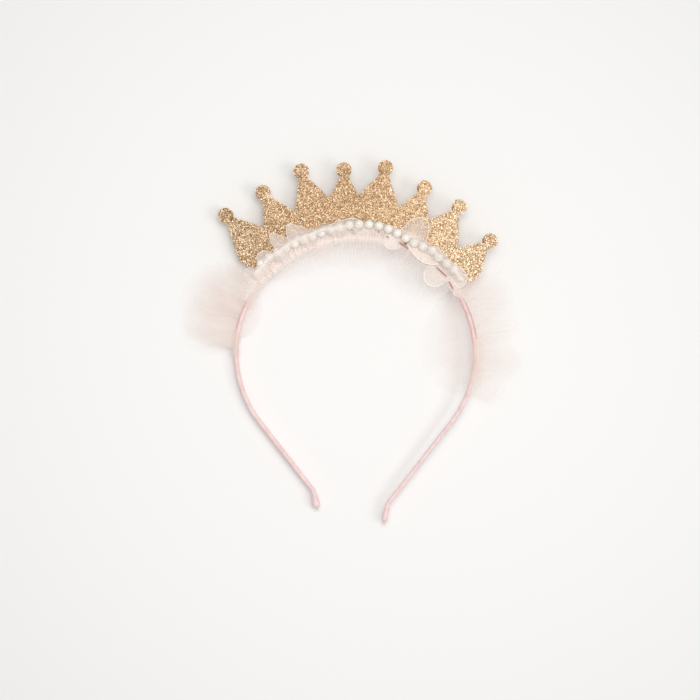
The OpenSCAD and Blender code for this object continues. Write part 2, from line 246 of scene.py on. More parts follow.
def rounded_section(width, height, radius, count):
    """Points at even distances round a rounded rectangle about the origin, and their normals."""
    flats = [width - 2 * radius, height - 2 * radius] * 2
    arc = math.pi / 2 * radius
    corners = [(0.5, -0.5), (0.5, 0.5), (-0.5, 0.5), (-0.5, -0.5)]
    around = sum(flats) + 4 * arc
    points, normals = [], []
    for k in range(count):
        left, side = around * k / count, 0
        while left > flats[side] + arc:
            left -= flats[side] + arc
            side += 1
        facing = side * math.pi / 2 - math.pi / 2
        centre = (corners[side][0] * flats[0], corners[side][1] * flats[1])
        angle = facing + max(0.0, left - flats[side]) / radius
        back = max(0.0, flats[side] - left)
        along = (-math.sin(facing), math.cos(facing))
        normal = (math.cos(angle), math.sin(angle))
        points.append([centre[i] - back * along[i] + radius * normal[i] for i in range(2)])
        normals.append(normal)
    return np.array(points), np.array(normals)


def tube_mesh(name, rings, uvs=None):
    """Skin over rings of points, each with as many, closed by a fan at both ends."""
    rings = np.asarray(rings)
    count, sides = rings.shape[:2]
    points = [*rings.reshape(-1, 3), rings[0].mean(axis=0), rings[-1].mean(axis=0)]
    faces, corners = [], []
    for i in range(count - 1):
        for k in range(sides):
            nxt = (k + 1) % sides
            faces.append((i * sides + k, i * sides + nxt, (i + 1) * sides + nxt, (i + 1) * sides + k))
            corners.append(((i, k), (i, k + 1), (i + 1, k + 1), (i + 1, k)))
    last = (count - 1) * sides
    for k in range(sides):
        nxt = (k + 1) % sides
        faces.append((k, count * sides, nxt))
        corners.append(((0, k), (0, k), (0, k + 1)))
        faces.append((last + k, last + nxt, count * sides + 1))
        corners.append(((count - 1, k), (count - 1, k + 1), (count - 1, k)))
    mesh = bpy.data.meshes.new(name)
    mesh.from_pydata([tuple(p) for p in points], [], faces)
    if uvs is not None:
        corner_uvs = [x for face in corners for i, k in face for x in (uvs[i], k / sides)]
        mesh.uv_layers.new(name="UVMap").data.foreach_set("uv", corner_uvs)
    mesh.shade_smooth()
    return mesh


def math_node(tree, operation, first, second=0.0):
    """Result of a sum on one or two values or sockets."""
    return add_node(tree, "Math", {0: first, 1: second}, operation=operation).outputs[0]


def map_range(tree, value, low=0.0, high=1.0, to_low=0.0, to_high=1.0):
    """A value stretched from one range to another and kept inside it."""
    feeds = {0: value, 1: low, 2: high, 3: to_low, 4: to_high}
    return add_node(tree, "MapRange", feeds).outputs[0]


def mix_colour(tree, share, first, second):
    """Colour mixed from two by a share. Sockets 6 and 7 of the node are its two colours."""
    return add_node(tree, "Mix", {0: share, 6: first, 7: second}, data_type="RGBA").outputs[2]


def add_bump(tree, shader, strength, depth, height):
    """Roughens a shader's surface by a height."""
    bump = add_node(tree, "Bump", {"Strength": strength, "Distance": depth, "Height": height})
    tree.links.new(bump.outputs[0], shader.inputs["Normal"])


def new_group(name, inputs, outputs):
    """A shader node group with named number, vector or colour sockets."""
    group = bpy.data.node_groups.new(name, "ShaderNodeTree")
    for direction, sockets in (("INPUT", inputs), ("OUTPUT", outputs)):
        for label, kind in sockets.items():
            group.interface.new_socket(label, in_out=direction, socket_type="NodeSocket" + kind)
    entry = group.nodes.new("NodeGroupInput")
    leave = group.nodes.new("NodeGroupOutput")
    return group, entry.outputs, leave.inputs


def use_group(tree, group, feeds):
    """Outputs of a node group that is put into a tree and fed."""
    return add_node(tree, "Group", feeds, node_tree=group).outputs


# Woven threads: waves along and across a place
weave_group, weave_in, weave_out = new_group(
    "woven threads",
    {"Place": "Vector", "Along": "Float", "Across": "Float"},
    {"Height": "Float"},
)
weave_place = add_node(weave_group, "SeparateXYZ", {0: weave_in["Place"]}).outputs
weave_rows = [
    math_node(weave_group, "SINE", math_node(weave_group, "MULTIPLY", weave_place[axis], weave_in[label]))
    for axis, label in (("X", "Along"), ("Y", "Across"))
]
weave_both = math_node(weave_group, "MULTIPLY", weave_rows[0], weave_rows[1])
weave_group.links.new(map_range(weave_group, weave_both, -1.0, 1.0), weave_out["Height"])

# Cloudy change of tone over a place given in metres
cloud_group, cloud_in, cloud_out = new_group(
    "cloudy tone",
    {"Place": "Vector", "Scale": "Float", "Low": "Float", "High": "Float"},
    {"Tone": "Float"},
)
cloud_feeds = {"Vector": cloud_in["Place"], "Scale": cloud_in["Scale"], "Detail": 3.0}
cloud_noise = add_node(cloud_group, "TexNoise", cloud_feeds).outputs["Fac"]
cloud_tone = map_range(cloud_group, cloud_noise, 0.3, 0.7, cloud_in["Low"], cloud_in["High"])
cloud_group.links.new(cloud_tone, cloud_out["Tone"])


def woven(tree, place, along, across):
    """Height of woven threads, whose pace is in radians for each unit of the place."""
    return use_group(tree, weave_group, {"Place": place, "Along": along, "Across": across})["Height"]


def cloudy(tree, place, scale, low=0.0, high=1.0):
    """Tone that changes in clouds between low and high."""
    feeds = {"Place": place, "Scale": scale, "Low": low, "High": high}
    return use_group(tree, cloud_group, feeds)["Tone"]


def satin_material(name, wound):
    """Pink satin ribbon. Where it is wound, a fine line of painted shade runs along each lap."""
    material, tree, shader = new_material(
        name, sheen_weight=0.35, sheen_roughness=0.35, sheen_tint=SATIN_SHEEN
    )
    place = add_node(tree, "NewGeometry").outputs["Position"]
    colour = mix_colour(tree, cloudy(tree, place, 260.0), SATIN_PINK, SATIN_DEEP)
    if wound:
        uv = add_node(tree, "UVMap", uv_map="UVMap").outputs[0]
        parts = add_node(tree, "SeparateXYZ", {0: uv}).outputs
        phase = math_node(tree, "FRACT", math_node(tree, "ADD", parts["X"], parts["Y"]))
        # Painted shade: a fine line along each lap, where its step meets the turn beneath
        from_lap = math_node(tree, "ABSOLUTE", math_node(tree, "SUBTRACT", phase, 0.5))
        lap_shade_mask = map_range(tree, from_lap, LAP_SHADE_FROM, 0.5)
        lap_shade = math_node(tree, "MULTIPLY", lap_shade_mask, LAP_SHADE_DEPTH)
        colour = mix_colour(tree, lap_shade, colour, SATIN_PAINTED_SHADE)
    tree.links.new(colour, shader.inputs["Base Color"])
    tree.links.new(cloudy(tree, place, 900.0, 0.36, 0.5), shader.inputs["Roughness"])
    add_bump(tree, shader, 0.25, 0.03 * MM, woven(tree, place, 24000.0, 9000.0))
    return material


satin_wound = satin_material("satin ribbon, wound", True)
satin_folded = satin_material("satin ribbon, folded", False)

ring_places = np.linspace(-ends[-1], ends[1], round((ends[-1] + ends[1]) / RING_GAP))
ring_middles, ring_turns = along_strip(ring_places)
section, section_normals = rounded_section(STRIP_T, STRIP_W, STRIP_ROUND, RING_POINTS)
lap_phase = ring_places / LAP_PITCH + LAP_WANDER * wander(ring_places / ends[1], seed=3, waves=9)
wrap_rings = []
for middle, turn, phase in zip(ring_middles, ring_turns, lap_phase):
    lap = (phase + np.arange(RING_POINTS) / RING_POINTS) % 1
    proud = LAP_STEP * (np.minimum(lap, (1 - lap) / LAP_DROP) - 0.5)
    across, up = (section + section_normals * proud[:, None]).T
    flat = middle + across[:, None] * outwards(turn)
    wrap_rings.append(np.column_stack([flat, np.maximum(up + STRIP_W / 2, 0)]))
wrap = link_piece("ribbon_wrap", tube_mesh("ribbon_wrap", wrap_rings, uvs=lap_phase), satin_wound)
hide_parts("band")
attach(wrap, "root")

# End folds: at each end the ribbon is folded back over the strip and glued, and its spare end is
# pinched to a small flat nose.
FOLD_RUN = 6 * MM
FOLD_SWELLS = {-1: 0.62 * MM, 1: 0.36 * MM}
NOSE_RUN = 2.1 * MM
FOLD_RINGS = 34
FOLD_POINTS = 20
FOLD_CREASE = 0.08 * MM
# Share of the fold's way to the nose's end, half thickness added to the strip's, share of width
FOLD_SECTIONS = [
    (0.00, 0.05, 1.00),
    (0.06, 0.55, 1.00),
    (0.30, 0.75, 1.00),
    (0.55, 1.00, 1.00),
    (0.74, 1.05, 1.00),
    (0.80, 0.30, 0.90),
    (0.86, -0.90, 0.74),
    (0.93, -1.25, 0.62),
    (1.00, -1.35, 0.50),
]


def fold_mesh(name, side):
    """Folded ribbon round one end, lofted along the straight tip."""
    whole = FOLD_RUN + NOSE_RUN
    shares, swells, widths = np.array(FOLD_SECTIONS).T
    tip, tip_turn = along_strip(side * ends[side])
    ahead = side * np.array([math.cos(tip_turn), -math.sin(tip_turn)])
    rings = []
    for share in np.linspace(0, 1, FOLD_RINGS):
        thick = STRIP_T + 2 * FOLD_SWELLS[side] * np.interp(share, shares, swells)
        wide = STRIP_W * np.interp(share, shares, widths)
        outline = rounded_section(thick, wide, 0.3 * min(thick, wide), FOLD_POINTS)[0]
        crease = FOLD_CREASE * np.sin(14 * share + 9 * outline[:, 1] / STRIP_W)
        across = outline[:, 0] + crease * np.sign(outline[:, 0])
        flat = tip + ahead * (share * whole - FOLD_RUN) + across[:, None] * outwards(tip_turn)
        rings.append(np.column_stack([flat, outline[:, 1] + STRIP_W / 2]))
    return tube_mesh(name, rings)


for side, label in ((-1, "left"), (1, "right")):
    fold = link_piece(f"ribbon_fold_{label}", fold_mesh(f"ribbon_fold_{label}", side), satin_folded)
    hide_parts(f"{label}_end_fold")
    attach(fold, "root")

# Crown: one stiff felted foam sheet, cut out flat and glued to the band's upper edge. Its face is
# covered with hexagonal flakes of champagne gold glitter, each lying a little askew in the glue.
FLAKES = 26000
FLAKE_SEED = 11
FLAKE_SIZES = (0.34 * MM, 0.52 * MM)
FLAKE_TILT_DEG = 10.5
FLAKE_ROUGHER = 1.7
ROUGHER_POWER = 2.5
FLAKE_STEEPEST_DEG = 50
FLAKE_BOW_DEG = 5
FLAKE_LOW = 0.03 * MM
FLAKE_PROUD = 0.12 * MM
FACE_UP_LEAST = 0.9
GOLD_DARK = (0.23, 0.12, 0.058, 1)
GOLD_MIDDLE = (0.60, 0.40, 0.23, 1)
GOLD_PALE = (0.99, 0.83, 0.62, 1)
GOLD_TONE = 0.19
GOLD_SPREAD = 0.16
# Painted light: the flakes are made lighter towards the crown's ends, a little to the left and more to
# the right
PAINTED_LIGHT_TO_LEFT = 0.3
PAINTED_LIGHT_TO_RIGHT = 0.75
PAINTED_LIGHT_POWER = 1.3
FOAM_TAN = (0.66, 0.46, 0.29, 1)
FOAM_BROWN = (0.52, 0.34, 0.20, 1)
# Painted shade on one side of each ball's rim, away from the light: turn and distance of the ball
# from the arc's centre, and the way from its middle to the shade, in degrees from +X
BALL_R = 3.9
BALL_RIM_SHADE = [
    (-44.2, 98.7, -20), (-17.9, 99.4, -108), (-5.2, 96.2, -132), (7.5, 98.4, -129),
    (20.7, 93.8, -172), (33.2, 93.8, -162), (47.8, 91.3, 178),
]
RIM_SHADE_HALF_DEG = 27
RIM_SHADE_FROM = 0.72
RIM_SHADE_TO = 1.1
RIM_SHADE_DARKER = 1.0


def gold_ramp(tree, tone):
    """Champagne gold from dark to pale, for a tone from 0 to 1."""
    ramp = add_node(tree, "ValToRGB", {0: tone})
    stops = ramp.color_ramp.elements
    stops[0].color, stops[1].color = GOLD_DARK, GOLD_PALE
    stops.new(0.5).color = GOLD_MIDDLE
    return ramp.outputs[0]


sheet_paint, sheet_tree, sheet_shader = new_material("glitter sheet", roughness=0.55)
sheet_geometry = add_node(sheet_tree, "NewGeometry").outputs
sheet_up = add_node(sheet_tree, "SeparateXYZ", {0: sheet_geometry["Normal"]}).outputs["Z"]
on_face = math_node(sheet_tree, "GREATER_THAN", sheet_up, 0.5)
sheet_place = sheet_geometry["Position"]
grains = add_node(sheet_tree, "TexVoronoi", {"Vector": sheet_place, "Scale": 1900.0}).outputs
grain_tone = add_node(sheet_tree, "SeparateXYZ", {0: grains["Color"]}).outputs["X"]
foam = mix_colour(sheet_tree, cloudy(sheet_tree, sheet_place, 700.0), FOAM_TAN, FOAM_BROWN)
sheet_colour = mix_colour(sheet_tree, on_face, foam, gold_ramp(sheet_tree, grain_tone))
sheet_tree.links.new(sheet_colour, sheet_shader.inputs["Base Color"])
sheet_tree.links.new(math_node(sheet_tree, "MULTIPLY", on_face, 0.7), sheet_shader.inputs["Metallic"])
add_bump(sheet_tree, sheet_shader, 0.6, 0.1 * MM, grains["Distance"])
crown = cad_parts["crown"]
for slot in crown.material_slots:
    slot.material = sheet_paint

flake_paint, flake_tree, flake_shader = new_material("glitter flakes", metallic=1.0)
flake_tone = add_node(flake_tree, "Attribute", attribute_name="tone").outputs["Fac"]
flake_tree.links.new(gold_ramp(flake_tree, flake_tone), flake_shader.inputs["Base Color"])
flake_gloss = map_range(flake_tree, flake_tone, to_low=0.5, to_high=0.36)
flake_tree.links.new(flake_gloss, flake_shader.inputs["Roughness"])

crown.data.calc_loop_triangles()
corners = np.array([[crown.data.vertices[i].co for i in t.vertices] for t in crown.data.loop_triangles])
crossed = np.cross(corners[:, 1] - corners[:, 0], corners[:, 2] - corners[:, 0])
areas = np.linalg.norm(crossed, axis=1) / 2
facing_up = crossed[:, 2] > 2 * FACE_UP_LEAST * areas
face_corners, face_areas = corners[facing_up], areas[facing_up]
draw = np.random.default_rng(FLAKE_SEED)
chosen = draw.choice(len(face_areas), FLAKES, p=face_areas / face_areas.sum())
shares = draw.random((FLAKES, 2))
shares[shares.sum(axis=1) > 1] = 1 - shares[shares.sum(axis=1) > 1]
spots = face_corners[chosen, 0] + (
    shares[:, :1] * (face_corners[chosen, 1] - face_corners[chosen, 0])
    + shares[:, 1:] * (face_corners[chosen, 2] - face_corners[chosen, 0])
)
spots[:, 2] += draw.uniform(FLAKE_LOW, FLAKE_PROUD, FLAKES)
to_side = np.abs(spots[:, 0]) / np.abs(spots[:, 0]).max()
roughness = 1 + FLAKE_ROUGHER * to_side[:, None] ** ROUGHER_POWER
# Painted light: the flakes lighten towards the crown's ends
painted_light = np.where(spots[:, 0] < 0, PAINTED_LIGHT_TO_LEFT, PAINTED_LIGHT_TO_RIGHT) * to_side ** PAINTED_LIGHT_POWER
tones = GOLD_TONE + painted_light + GOLD_SPREAD * roughness[:, 0] * draw.standard_normal(FLAKES)
# Painted shade: flakes on one side of each ball's rim are darkened
for turn, distance, way in BALL_RIM_SHADE:
    from_ball = spots[:, :2] - from_centre(turn, distance)
    far = np.linalg.norm(from_ball, axis=1) / (BALL_R * MM)
    off = np.abs((np.degrees(np.arctan2(from_ball[:, 1], from_ball[:, 0])) - way + 180) % 360 - 180)
    tones[(far > RIM_SHADE_FROM) & (far < RIM_SHADE_TO) & (off < RIM_SHADE_HALF_DEG)] -= RIM_SHADE_DARKER
tilts = np.radians(FLAKE_TILT_DEG) * roughness * draw.standard_normal((FLAKES, 2))
tilts[:, 0] -= np.radians(FLAKE_BOW_DEG) * spots[:, 0] / spots[:, 0].max()
steepest = math.radians(FLAKE_STEEPEST_DEG)
tilts = np.clip(tilts, -steepest, steepest)
sizes = draw.uniform(*FLAKE_SIZES, FLAKES) / 2
spins = draw.uniform(0, math.pi / 3, FLAKES)
angles = spins[:, None] + np.arange(6) * math.pi / 3
reach = np.stack([np.cos(angles), np.sin(angles)], axis=-1) * sizes[:, None, None]
rise = reach[..., 0] * np.tan(tilts[:, :1]) + reach[..., 1] * np.tan(tilts[:, 1:])
flake_points = np.concatenate([reach, rise[..., None]], axis=-1) + spots[:, None, :]
flake_mesh = bpy.data.meshes.new("glitter_flakes")
flake_faces = np.arange(FLAKES * 6).reshape(-1, 6)
flake_mesh.from_pydata(flake_points.reshape(-1, 3).tolist(), [], flake_faces.tolist())
tone_layer = flake_mesh.attributes.new("tone", "FLOAT", "POINT")
tone_layer.data.foreach_set("value", np.repeat(np.clip(tones, 0, 1), 6))
flakes = link_piece("glitter_flakes", flake_mesh, flake_paint)
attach(flakes, "root")

# Ruffle: a ribbon of sheer off-white organza, gathered by a running stitch along the pearl line,
# so that it flutes on both sides. Here and there it stands up in a wide fan, curls into a loop or
# laps over the pearls, on the left most of all. Its edges show as thin bright lines.
PEARL_R = 67 * MM
PEARL_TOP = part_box("pearl_12")[1][2]
RUFFLE_Z = 0.5 * (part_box("ruffle")[0][2] + STRIP_W) + 0.6 * MM
RUFFLE_TURN = math.radians(54)
RUFFLE_LOWEST = STRIP_W + 0.1 * MM
FLUTES = 19
FLUTE_POINTS = 26
RUFFLE_ROWS = 15
PUCKER = 1.6 * MM
PEARL_PITCH = 5.0 * MM
# Turn in degrees, distance of the outer and of the inner edge from the arc's centre, and lift
RUFFLE_EDGE = [
    (-54, 68.5, 60.5, 0.8), (-50, 68.6, 59.6, 1.6), (-46, 69.6, 59.2, 1.8), (-40, 68.2, 58.9, 1.8),
    (-34, 69.4, 59.2, 1.8), (-29, 68.6, 59.4, 1.8), (-24, 69.4, 59.5, 1.6), (-18, 68.5, 59.6, 1.4),
    (-13, 69.2, 59.4, 1.5), (-8, 69.6, 58.9, 1.6), (0, 69.4, 59.0, 1.4),
    (5, 69.5, 59.2, 1.4), (11, 69.6, 59.4, 1.4), (16, 69.3, 60.4, 1.4), (18.6, 69.4, 64.4, 1.2),
    (22, 69.6, 64.2, 1.2), (25, 69.8, 61.6, 1.6), (34, 69.4, 61.6, 1.4), (40, 69.6, 61.4, 1.6),
    (46, 69.4, 61.6, 1.6), (50, 69.6, 61.0, 1.4), (54, 68.8, 60.6, 0.8),
]
# Fans, laps, loops and veils. Of each: the turns between which it is gathered and its distance
# there from the arc's centre; its edge from one side round to the other, as turn and distance;
# the rise of that edge over the gathers; the thickness of its hem, 0 if none shows; and how thin
# it is at its gathers and at its edge, from 0 to 1
RUFFLE_LOBES = [
    ((-54, -48.5, 65),
     [(-57, 62.8), (-56.6, 68), (-54, 71.8), (-51.8, 71.6), (-50.1, 68.6), (-48, 67)],
     1.0, 0.1, (0.1, 0.5)),
    ((-48, -39.5, 66),
     [(-48.4, 66.2), (-47.2, 70.9), (-45.7, 72.6), (-43.8, 72.6), (-41.9, 71.3), (-40.6, 69),
      (-37.9, 66.2)], 2.8, 0.25, (0, 0.3)),
    ((-38.5, -30.5, 66.2),
     [(-38.4, 67.4), (-38.3, 70.5), (-37.8, 74.2), (-36.6, 76.5), (-35.6, 76.5), (-33.8, 73.6),
      (-32.2, 71), (-30.4, 68.8), (-28.2, 67)], 3.4, 0.25, (0.02, 0.3)),
    ((-30, -19, 66.6),
     [(-31.9, 67.5), (-31.5, 70), (-30.4, 73.6), (-29.3, 76), (-28.4, 76.1), (-26.6, 74.4),
      (-24.6, 72.5), (-21.5, 69.4), (-18.5, 67.4)], 3.8, 0.25, (0.04, 0.3)),
    ((-18, 1.4, 66.8),
     [(-18.6, 67.2), (-15.3, 68.6), (-10.8, 69.5), (-9.4, 70.6), (-6.4, 70.3), (-5, 70.9), (-0.7, 70.3),
      (1.8, 67.8)], 2.6, 0.32, (0, 0.3)),
    ((20.8, 28.2, 67.2),
     [(17.8, 68.4), (19.2, 71.8), (20.7, 75.6), (23.1, 78.5), (25.1, 79.3), (26.9, 78), (28.8, 74),
      (30, 69)], 4.2, 0.36, (0.08, 0.5)),
    ((32.5, 38.5, 66),
     [(31.6, 66.2), (33.1, 68.9), (35.1, 70), (37.7, 69.3), (39.8, 66.8)], 2.2, 0.3, (0, 0.3)),
    ((44, 52, 65.4),
     [(42, 67), (45.5, 69.3), (48, 70.5), (50.1, 71), (52, 70.6), (53.8, 69.4), (55, 67), (54.8, 63.2)],
     3.0, 0.3, (0, 0.35)),
    ((0.5, 6.5, 64.4),
     [(0, 61), (0.5, 55), (2.1, 52.2), (4.4, 52), (5.8, 55.3), (6.6, 61)], -2.5, 0.08, (0.6, 0.85)),
    ((7, 11.6, 64.4),
     [(6.8, 61), (8, 56.6), (10.5, 52.8), (11.7, 57.4), (12.4, 61.6)], -2.5, 0.2, (0.6, 0.85)),
    ((12, 20.4, 65),
     [(11.7, 62.2), (13, 58.9), (15.7, 57.9), (19, 58.9), (20.8, 61.2), (21.4, 64)], 0.6, 0.25, (0, 0.1)),
    ((23.4, 35, 65.6),
     [(22.9, 63.6), (27.4, 60.6), (31.6, 59.5), (34.5, 59.7), (37.6, 61), (40.4, 63.8)],
     1.6, 0.6, (0, 0.12)),
    ((40.4, 47.2, 64.6),
     [(39.6, 63.4), (37.4, 59.4), (37.8, 55.6), (40.5, 53), (44.2, 52.7), (47, 54.5), (48.5, 57.8),
      (48.1, 61.4), (46.6, 64)], -0.6, 0.55, (0.03, 0.25)),
    ((49.2, 53.5, 64),
     [(48.8, 62.6), (51, 60.3), (54, 59.9), (57.3, 60.2), (58.2, 61.5), (56, 64.2)], 0.3, 0.2, (0, 0.35)),
    # The next three veils, whose hems don't show, reach in over the table on the inner side of the pearl
    # line. They are partly cloth and partly painted shade: a thin sheet over the soft shade inside the
    # arc.
    ((-46, -14, 61.5),
     [(-47, 58), (-42, 52.5), (-34, 50), (-26, 48.5), (-18, 50), (-13, 57)], -1.5, 0, (0.1, 0.98)),
    ((-22, 16, 61.5),
     [(-23, 57), (-19, 49), (-8, 46), (2, 45.5), (11, 47), (16, 55)], -1.5, 0, (0.1, 0.98)),
    ((12, 52, 61.5),
     [(10, 57), (17, 48), (27, 43), (37, 41.5), (47, 43), (56, 53)], -3, 0, (0.15, 0.98)),
    ((-64, -50, 64),
     [(-66, 62), (-63, 58.8), (-58, 57.6), (-53, 57.8), (-48, 60)], 0.6, 0, (0.1, 0.9)),
    ((-64, -50, 63.6),
     [(-66, 65), (-63, 69.6), (-58, 72.4), (-53, 72.4), (-49, 69)], 1.4, 0, (0.1, 0.95)),
]
# Where the ribbon laps the pearls: the turns from and to, its reach inwards and outwards from the
# pearl line, and how thin it is over the pearls, from 0 to 1
LAPPED = [
    (-54, -43.5, 5.4, 2.2, 0.01), (-47, -38, 3.0, 3.6, 0), (-41.5, -31, 6.2, 1.8, 0.02),
    (-34.5, -25, 3.2, 3.4, 0.01), (-28.5, -18.5, 5.8, 2.0, 0.02), (-22, -12.5, 3.0, 3.2, 0.01),
    (-15.5, -5, 5.2, 2.6, 0.03), (-9, 3, 3.8, 2.6, 0.3), (24, 33.5, 4, 2.4, 0.3),
    (31.5, 40.5, 3.4, 3, 0.12), (39, 47.5, 4.2, 2.4, 0.15), (45, 54, 3.6, 3.4, 0.05),
]
ORGANZA_WHITE = (0.955, 0.89, 0.835, 1)
ORGANZA_PINK = (0.93, 0.82, 0.775, 1)
HEM_WHITE = (0.97, 0.94, 0.90, 1)
HEM_D = 0.2 * MM
INNER_HEM_D = 0.07 * MM
LAP_HEM_D = 0.16 * MM
FOLD_PITCH = 2.3 * MM
FOLD_HEIGHT = 0.4 * MM
VEIL_FOLD_HEIGHT = 0.08 * MM
LOBE_COLUMNS = 49
LOBE_ROWS = 16
# Cloth beside the band, inside of this radius, may hang lower than cloth that crosses it
INSIDE_BAND = 60 * MM
HANGING_LOWEST = 0.4 * MM
CROSSING_LOWEST = STRIP_W + 0.2 * MM
LAP_ROWS = 17
LAP_STEP_DEG = 0.25


def join_sheets(name, sheets):
    """One mesh of several sheets of quads. A sheet is a grid of points whose rows run from where
    it is gathered to its edge. The attribute "out" is each point's share of that way, and "rim"
    reaches 1 at the free edges. The UV map holds the flat cloth's place in millimetres."""
    points, faces, uvs, outs, rims = [], [], [], [], []
    for grid, out, rim in sheets:
        columns, rows = grid.shape[:2]
        start = len(points)
        points.extend(grid.reshape(-1, 3).tolist())
        outs.extend(np.broadcast_to(out, (columns, rows)).ravel().tolist())
        rims.extend(np.broadcast_to(rim, (columns, rows)).ravel().tolist())
        edge_steps = np.linalg.norm(np.diff(grid, axis=0), axis=2).max(axis=1)
        out_steps = np.linalg.norm(np.diff(grid[columns // 2], axis=0), axis=1)
        along = np.concatenate([[0], np.cumsum(edge_steps)]) / MM
        across = np.concatenate([[0], np.cumsum(out_steps)]) / MM
        for i in range(columns - 1):
            for j in range(rows - 1):
                a = start + i * rows + j
                faces.append((a, a + 1, a + rows + 1, a + rows))
                for p, q in ((i, j), (i, j + 1), (i + 1, j + 1), (i + 1, j)):
                    uvs.extend((along[p], across[q]))
    mesh = bpy.data.meshes.new(name)
    mesh.from_pydata(points, [], faces)
    mesh.uv_layers.new(name="UVMap").data.foreach_set("uv", uvs)
    mesh.attributes.new("out", "FLOAT", "POINT").data.foreach_set("value", outs)
    mesh.attributes.new("rim", "FLOAT", "POINT").data.foreach_set("value", rims)
    mesh.shade_smooth()
    return mesh


def thread_tube(path, diameter, sides=5):
    """Rings of a thin tube along a path of points."""
    path = np.asarray(path)
    ahead = np.gradient(path, axis=0)
    ahead /= np.linalg.norm(ahead, axis=1)[:, None] + 1e-12
    side = np.cross(ahead, (0, 0, 1.0))
    side /= np.linalg.norm(side, axis=1)[:, None] + 1e-12
    up = np.cross(side, ahead)
    angles = 2 * math.pi * np.arange(sides) / sides
    return path[:, None] + diameter / 2 * (
        np.cos(angles)[None, :, None] * side[:, None] + np.sin(angles)[None, :, None] * up[:, None]
    )


def eased(x, table, column):
    """Value of a table's column at x, eased from one row to the next."""
    rows = np.asarray(table, float)
    k = np.clip(np.searchsorted(rows[:, 0], x, side="right") - 1, 0, len(rows) - 2)
    t = np.clip((x - rows[k, 0]) / (rows[k + 1, 0] - rows[k, 0]), 0, 1)
    t = (1 - np.cos(math.pi * t)) / 2
    return rows[k, column] * (1 - t) + rows[k + 1, column] * t


# Streaks of gathered cloth: noise drawn out on the way from the gathers to the edge
streak_group, streak_in, streak_out = new_group(
    "gather streaks",
    {"Along": "Float", "Out": "Float", "Fineness": "Float", "Detail": "Float"},
    {"Streak": "Float"},
)
streak_x = math_node(streak_group, "MULTIPLY", streak_in["Along"], streak_in["Fineness"])
streak_y = math_node(streak_group, "MULTIPLY", streak_in["Out"], 0.8)
streak_place = add_node(streak_group, "CombineXYZ", {0: streak_x, 1: streak_y}).outputs[0]
streak_feeds = {"Vector": streak_place, "Scale": 1.0, "Detail": streak_in["Detail"]}
streak_noise = add_node(streak_group, "TexNoise", streak_feeds).outputs["Fac"]
streak_group.links.new(map_range(streak_group, streak_noise, 0.36, 0.66), streak_out["Streak"])


def sheer_material(name, colours, glow, covers, fall, streaks, fineness, detail, threads, grain):
    """Sheer cloth. covers are how much it hides at its gathers, at its edge and, added to that,
    on its rim, and fall how soon it thins out. Light that comes through it from behind is stood
    for by a faint glow. Streaks run along its folds; its threads are in radians per mm."""
    material, tree, shader = new_material(name, roughness=0.6, emission_strength=glow)
    uv = add_node(tree, "UVMap", uv_map="UVMap").outputs[0]
    out = add_node(tree, "Attribute", attribute_name="out").outputs["Fac"]
    rim = add_node(tree, "Attribute", attribute_name="rim").outputs["Fac"]
    along = add_node(tree, "SeparateXYZ", {0: uv}).outputs["X"]
    feeds = {"Along": along, "Out": out, "Fineness": fineness, "Detail": detail}
    streak = use_group(tree, streak_group, feeds)["Streak"]
    colour = mix_colour(tree, streak, *colours)
    tree.links.new(colour, shader.inputs["Base Color"])
    tree.links.new(colour, shader.inputs["Emission Color"])
    gathered, edge, on_rim = covers
    kept = math_node(tree, "SUBTRACT", 1.0, math_node(tree, "POWER", out, fall))
    cover = map_range(tree, kept, to_low=edge, to_high=gathered)
    folds = map_range(tree, streak, to_low=1 - streaks, to_high=1 + streaks)
    weave = woven(tree, uv, threads, threads)
    grained = map_range(tree, weave, to_low=1 - grain, to_high=1 + grain)
    cloth = math_node(tree, "MULTIPLY", math_node(tree, "MULTIPLY", cover, folds), grained)
    edging = map_range(tree, rim, 0.95, 1.0, to_high=on_rim)
    alpha = add_node(tree, "Math", {0: cloth, 1: edging}, operation="ADD", use_clamp=True).outputs[0]
    tree.links.new(alpha, shader.inputs["Alpha"])
    add_bump(tree, shader, 0.3, 0.04 * MM, weave)
    return material


organza = sheer_material(
    "organza", (ORGANZA_WHITE, ORGANZA_PINK), glow=0.08, covers=(0.9, 0.03, 0.2), fall=0.5,
    streaks=0.2, fineness=1.1, detail=2.5, threads=21.0, grain=0.12
)
# The selvedge is given a faint painted glow in its own colour, which lightens the hems
hem_paint, hem_tree, hem_shader = new_material("organza selvedge", roughness=0.5, emission_strength=0.1)
hem_place = add_node(hem_tree, "NewGeometry").outputs["Position"]
hem_colour = mix_colour(hem_tree, cloudy(hem_tree, hem_place, 500.0), HEM_WHITE, ORGANZA_PINK)
hem_tree.links.new(hem_colour, hem_shader.inputs["Base Color"])
hem_tree.links.new(hem_colour, hem_shader.inputs["Emission Color"])

ruffle_shares = np.linspace(0, 1, FLUTES * FLUTE_POINTS + 1)
ruffle_turns = RUFFLE_TURN * (2 * ruffle_shares - 1)


